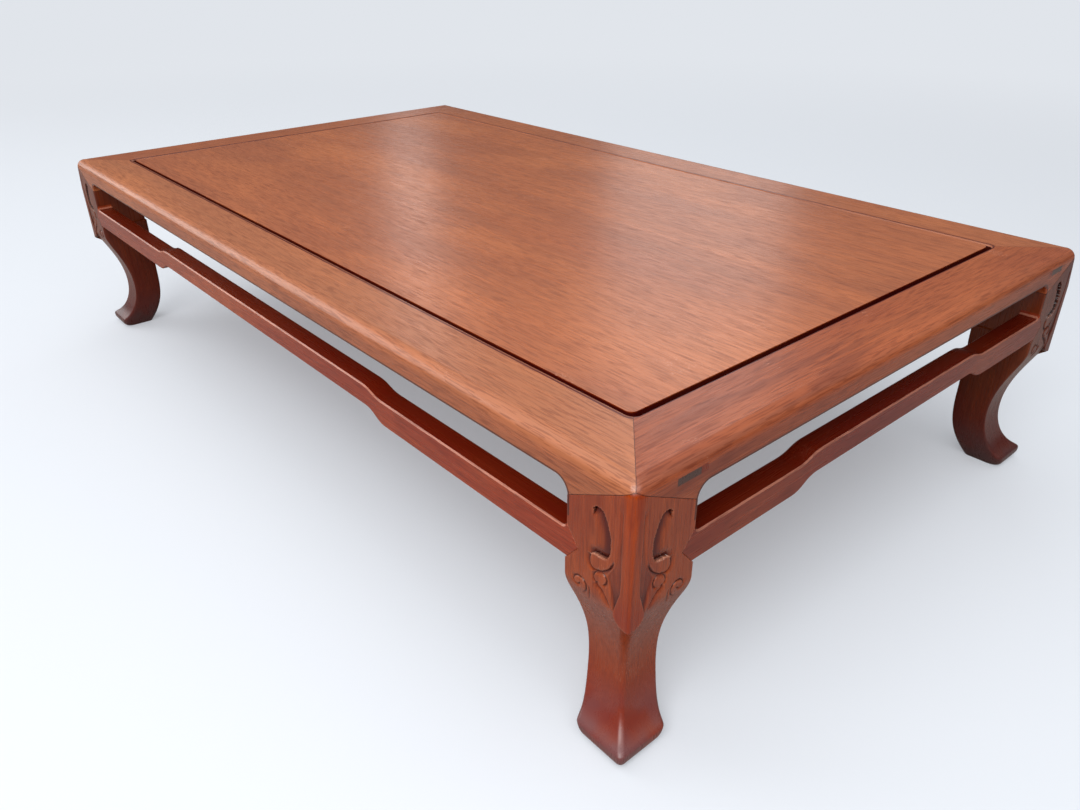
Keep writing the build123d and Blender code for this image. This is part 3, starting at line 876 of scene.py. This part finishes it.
def hollowsAndRims(carve):  # where the carving lies below its surroundings, and where it stands above
    around = carve
    for _ in range(relief["rounds"]):
        shifted = [np.roll(around, step, axis) for axis in (0, 1) for step in (1, -1)]
        around = (sum(shifted) + around) / (len(shifted) + 1)
    gap = (carve - around) * relief["sharpness"]
    return np.clip(gap, 0, 1), np.clip(-gap - relief["rimStart"], 0, 1)


def closedEnd(rim, last, start, flat):  # the sole or the hipped top, in rings round a middle point
    middle = np.array([legShape["size"] / 2, legShape["size"] / 2])
    rings = stepCounts["endRings"]
    places = []
    quads = []
    for ring in range(1, rings):
        inset = rim + (middle - rim) * ring / rings
        height = np.zeros(len(rim)) if flat else seamHeight(inset.max(axis=1))
        places.append(np.column_stack([inset, height]))
        this = np.arange(len(rim)) + start
        start += len(rim)
        quad = np.stack([last, np.roll(last, -1), np.roll(this, -1), this], axis=-1)
        quads.append(quad[:, ::-1] if flat else quad)
        last = this
    places.append([[*middle, 0 if flat else seamHeight(middle.max())]])
    fan = np.stack([last, np.roll(last, -1), np.full(len(rim), start)], axis=-1)
    return np.vstack(places), np.vstack(quads), fan[:, ::-1] if flat else fan


def legMesh():
    p, q, z, carve, leaf, sheenAndWear, outline, direction = legBlank()
    rows, columns = p.shape
    places = np.stack([p, q, z], axis=-1).reshape(-1, 3)
    quads = [legFaces(rows, columns).reshape(-1, 4)]
    fans = []
    for edge, flat in ((rows - 1, False), (0, True)):
        rim = np.stack([p[edge], q[edge]], axis=-1)
        around = np.arange(columns) + edge * columns
        endPlaces, endQuads, fan = closedEnd(rim, around, len(places), flat)
        places = np.vstack([places, endPlaces])
        quads.append(endQuads)
        fans.append(fan)
    quads = np.vstack(quads)
    fans = np.vstack(fans)
    mesh = bpy.data.meshes.new("legBlank")
    mesh.vertices.add(len(places))
    mesh.vertices.foreach_set("co", (places * mm).ravel())
    corners = np.concatenate([quads.ravel(), fans.ravel()])
    sizes = np.concatenate([np.full(len(quads), 4), np.full(len(fans), 3)])
    mesh.loops.add(len(corners))
    mesh.loops.foreach_set("vertex_index", corners)
    mesh.polygons.add(len(sizes))
    mesh.polygons.foreach_set("loop_start", np.concatenate([[0], np.cumsum(sizes)[:-1]]))
    mesh.update(calc_edges=True)
    rest = len(places) - rows * columns
    # Painted shade in the creases and in the leaf's shadow on the shaft; painted highlight and wear on the
    # rims
    creaseShade, rim = hollowsAndRims(carve)
    rim = np.maximum(rim * sheenAndWear, np.clip(outline, 0, 1))
    creaseShade = np.maximum(creaseShade, np.clip(-outline, 0, 1))
    inward = np.column_stack([direction, np.zeros(columns)])
    inward = np.vstack([np.tile(inward, (rows, 1)), np.zeros((rest, 3))])
    for name, values in (("carve", carve * mm), ("creaseShade", creaseShade), ("rim", rim), ("leaf", leaf)):
        values = np.concatenate([values.ravel(), np.zeros(rest)])
        mesh.attributes.new(name, "FLOAT", "POINT").data.foreach_set("value", values)
    mesh.attributes.new("inward", "FLOAT_VECTOR", "POINT").data.foreach_set("vector", inward.ravel())
    mesh.validate()
    return mesh


def carveTree():  # cuts the carving into the blank and takes the leg to its corner
    tree = bpy.data.node_groups.new("carvedLeg", "GeometryNodeTree")
    face = tree.interface
    face.new_socket("Blank", in_out="INPUT", socket_type="NodeSocketGeometry")
    for name, kind, value in (
        ("Half Length", "NodeSocketFloat", halfLength),
        ("Half Width", "NodeSocketFloat", halfWidth),
        ("Relief", "NodeSocketFloat", 1.0),
        ("Right", "NodeSocketBool", False),
        ("Back", "NodeSocketBool", False),
    ):
        face.new_socket(name, in_out="INPUT", socket_type=kind).default_value = value
    face.new_socket("Wood", in_out="INPUT", socket_type="NodeSocketMaterial")
    face.new_socket("Leg", in_out="OUTPUT", socket_type="NodeSocketGeometry")
    given = tree.nodes.new("NodeGroupInput").outputs
    depth, inward = (
        addNode(tree, "GeometryNodeInputNamedAttribute", {"data_type": kind}, {"Name": name}).outputs[0]
        for name, kind in (("carve", "FLOAT"), ("inward", "FLOAT_VECTOR"))
    )
    scaled = times(tree, depth, given["Relief"])
    offset = addNode(
        tree, "ShaderNodeVectorMath", {"operation": "SCALE"}, {"Vector": inward, "Scale": scaled}
    ).outputs[0]
    carved = addNode(
        tree, "GeometryNodeSetPosition", {}, {"Geometry": given["Blank"], "Offset": offset}
    ).outputs[0]
    corner = addNode(
        tree, "ShaderNodeCombineXYZ", {},
        {"X": times(tree, given["Half Length"], -1.0), "Y": times(tree, given["Half Width"], -1.0)},
    ).outputs[0]
    placed = addNode(
        tree, "GeometryNodeTransform", {}, {"Geometry": carved, "Translation": corner}
    ).outputs[0]
    signs = addNode(
        tree, "ShaderNodeCombineXYZ", {},
        {"X": maths(tree, "SUBTRACT", 1.0, times(tree, given["Right"], 2.0)),
         "Y": maths(tree, "SUBTRACT", 1.0, times(tree, given["Back"], 2.0)), "Z": 1.0},
    ).outputs[0]
    turned = addNode(tree, "GeometryNodeTransform", {}, {"Geometry": placed, "Scale": signs}).outputs[0]
    smooth = addNode(tree, "GeometryNodeSetShadeSmooth", {}, {"Geometry": turned}).outputs[0]
    single = addNode(tree, "GeometryNodeRealizeInstances", {}, {"Geometry": smooth}).outputs[0]
    finished = addNode(
        tree, "GeometryNodeSetMaterial", {}, {"Geometry": single, "Material": given["Wood"]}
    ).outputs[0]
    tree.links.new(finished, tree.nodes.new("NodeGroupOutput").inputs[0])
    return tree


def setInputs(modifier, values):  # by the socket's identifier
    for item in modifier.node_group.interface.items_tree:
        if item.in_out == "INPUT" and item.name in values:
            modifier[item.identifier] = values[item.name]


def bakeObject(source, name):  # a plain mesh of what the modifiers make
    depsgraph = bpy.context.evaluated_depsgraph_get()
    mesh = bpy.data.meshes.new_from_object(source.evaluated_get(depsgraph))
    bpy.data.objects.remove(source)
    mesh.name = name
    made = bpy.data.objects.new(name, mesh)
    bpy.context.collection.objects.link(made)
    return made


def turnOutwards(mesh):  # returns the volume
    triangles = mesh.loop_triangles
    places = np.empty(len(mesh.vertices) * 3)
    mesh.vertices.foreach_get("co", places)
    places = places.reshape(-1, 3)
    corners = np.empty(len(triangles) * 3, int)
    triangles.foreach_get("vertices", corners)
    a, b, c = (places[corners[index::3]] for index in range(3))
    volume = (np.cross(a, b) * c).sum() / 6
    if volume < 0:
        mesh.flip_normals()
    return abs(volume)


sharpAngle = 50
centimetre = 0.01


def makeLegs():
    blank = legMesh()
    tree = carveTree()
    for right in (False, True):
        for back in (False, True):
            name = f"leg_{'back' if back else 'front'}_{'right' if right else 'left'}"
            source = bpy.data.objects.new("legSource", blank.copy())
            bpy.context.collection.objects.link(source)
            modifier = source.modifiers.new("carve", "NODES")
            modifier.node_group = tree
            setInputs(modifier, {
                "Half Length": halfLength,
                "Half Width": halfWidth,
                "Right": right,
                "Back": back,
                "Wood": rosewood("carved_" + name, woodPieces[name]),
            })
            leg = bakeObject(source, "carved_" + name)
            volume = turnOutwards(leg.data)
            leg.data.set_sharp_from_angle(angle=math.radians(sharpAngle))
            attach(leg, "root")
            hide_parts(name)
            print(name, len(leg.data.polygons), "faces", round(volume / centimetre ** 3), "cm3")


makeLegs()
print("legs carved")


# Floor and light
studio = {
    "floorSeen": colour(227, 231, 237),
    "floorBounce": colour(170, 160, 156),
    "floorGlow": (0.34, 0.95),
    "glowReach": (0.7, 3.5),
    "horizon": 0.05,
    "zenith": 1.15,
    "skyCurve": 2.2,
    "skyTint": (0.95, 0.975, 1.0, 1),
    "backdrop": colour(224, 229, 235),
    "softboxes": [
        {"name": "overhead", "place": (-0.4, -0.5, 2.6), "size": (2.8, 2.4), "power": 17},
        {"name": "nearWindow", "place": (1.1, -1.6, 1.7), "size": (1.4, 1.2), "power": 33},
        {"name": "rightBoard", "place": (1.9, -0.6, 1.7), "size": (1.4, 1.2), "power": 8},
        {"name": "leftBoard", "place": (-2.4, -1.5, 1.25), "size": (1.8, 1.7), "power": 21},
        {"name": "farStrip", "azimuth": -8.4, "size": (0.2, 1.7), "power": 1.7},
        {"name": "farWindow", "azimuth": 10.5, "size": (0.85, 1.7), "power": 5.5},
    ],
    "farDistance": 4.0,
    "farHeight": 1.7,
    "farAim": 0.7,
    "aimHeight": 0.1,
    "floorReach": 14,
}


def makeFloor():
    mesh = bpy.data.meshes.new("floor")
    reach = studio["floorReach"]
    corners = [(-reach, -reach, 0), (reach, -reach, 0), (reach, reach, 0), (-reach, reach, 0)]
    mesh.from_pydata(corners, [], [(0, 1, 2, 3)])
    floor = bpy.data.objects.new("floor", mesh)
    bpy.context.collection.objects.link(floor)
    material, tree = newMaterial("floorPaper")
    straight = addNode(tree, "ShaderNodeLightPath").outputs["Is Camera Ray"]
    tint = mixColour(tree, straight, studio["floorBounce"], studio["floorSeen"])
    matt = addNode(tree, "ShaderNodeBsdfDiffuse", {}, {"Color": tint})
    glow = addNode(tree, "ShaderNodeEmission", {}, {"Color": studio["floorSeen"], "Strength": 1.0})
    place = addNode(tree, "ShaderNodeTexCoord").outputs["Object"]
    away = addNode(tree, "ShaderNodeVectorMath", {"operation": "LENGTH"}, {0: place}).outputs["Value"]
    share = times(tree, straight, remap(tree, away, *studio["glowReach"], *studio["floorGlow"]))
    both = addNode(
        tree, "ShaderNodeMixShader", {}, {0: share, 1: matt.outputs[0], 2: glow.outputs[0]}
    )
    addNode(tree, "ShaderNodeOutputMaterial", {}, {"Surface": both.outputs[0]})
    mesh.materials.append(material)


def makeSky():
    world = bpy.data.worlds.new("studio")
    world.use_nodes = True
    tree = world.node_tree
    tree.nodes.clear()
    direction = addNode(tree, "ShaderNodeTexCoord").outputs["Generated"]
    height = maths(tree, "MAXIMUM", axes(tree, direction)[2], 0.0)
    climb = maths(tree, "POWER", height, studio["skyCurve"])
    strength = remap(tree, climb, 0.0, 1.0, studio["horizon"], studio["zenith"], smooth=False)
    light = addNode(tree, "ShaderNodeBackground", {}, {"Color": studio["skyTint"], "Strength": strength})
    seen = addNode(tree, "ShaderNodeBackground", {}, {"Color": studio["backdrop"], "Strength": 1.0})
    straight = addNode(tree, "ShaderNodeLightPath").outputs["Is Camera Ray"]
    both = addNode(
        tree, "ShaderNodeMixShader", {}, {0: straight, 1: light.outputs[0], 2: seen.outputs[0]}
    )
    addNode(tree, "ShaderNodeOutputWorld", {}, {"Surface": both.outputs[0]})
    bpy.context.scene.world = world


def makeSoftbox(name, size, power, place=None, azimuth=None):
    target = (0, 0, studio["aimHeight"])
    if azimuth is not None:  # stands beyond the table, at an angle from the camera's own direction
        bearing = math.radians(cameraSetup["azimuth"] - azimuth)
        x = camera.location.x - math.sin(bearing) * studio["farDistance"]
        y = camera.location.y + math.cos(bearing) * studio["farDistance"]
        place = (x, y, studio["farHeight"])
        target = (camera.location.x, camera.location.y, studio["farAim"])
    data = bpy.data.lights.new(name, "AREA")
    data.shape = "RECTANGLE"
    data.size, data.size_y = size
    data.energy = power
    light = bpy.data.objects.new(name, data)
    bpy.context.collection.objects.link(light)
    light.location = place
    light.rotation_euler = (Vector(target) - Vector(place)).to_track_quat("-Z", "Y").to_euler()
    light.visible_camera = False


makeFloor()
makeSky()
for softbox in studio["softboxes"]:
    makeSoftbox(**softbox)
bpy.context.scene.view_settings.view_transform = "Standard"
print("studio lit")
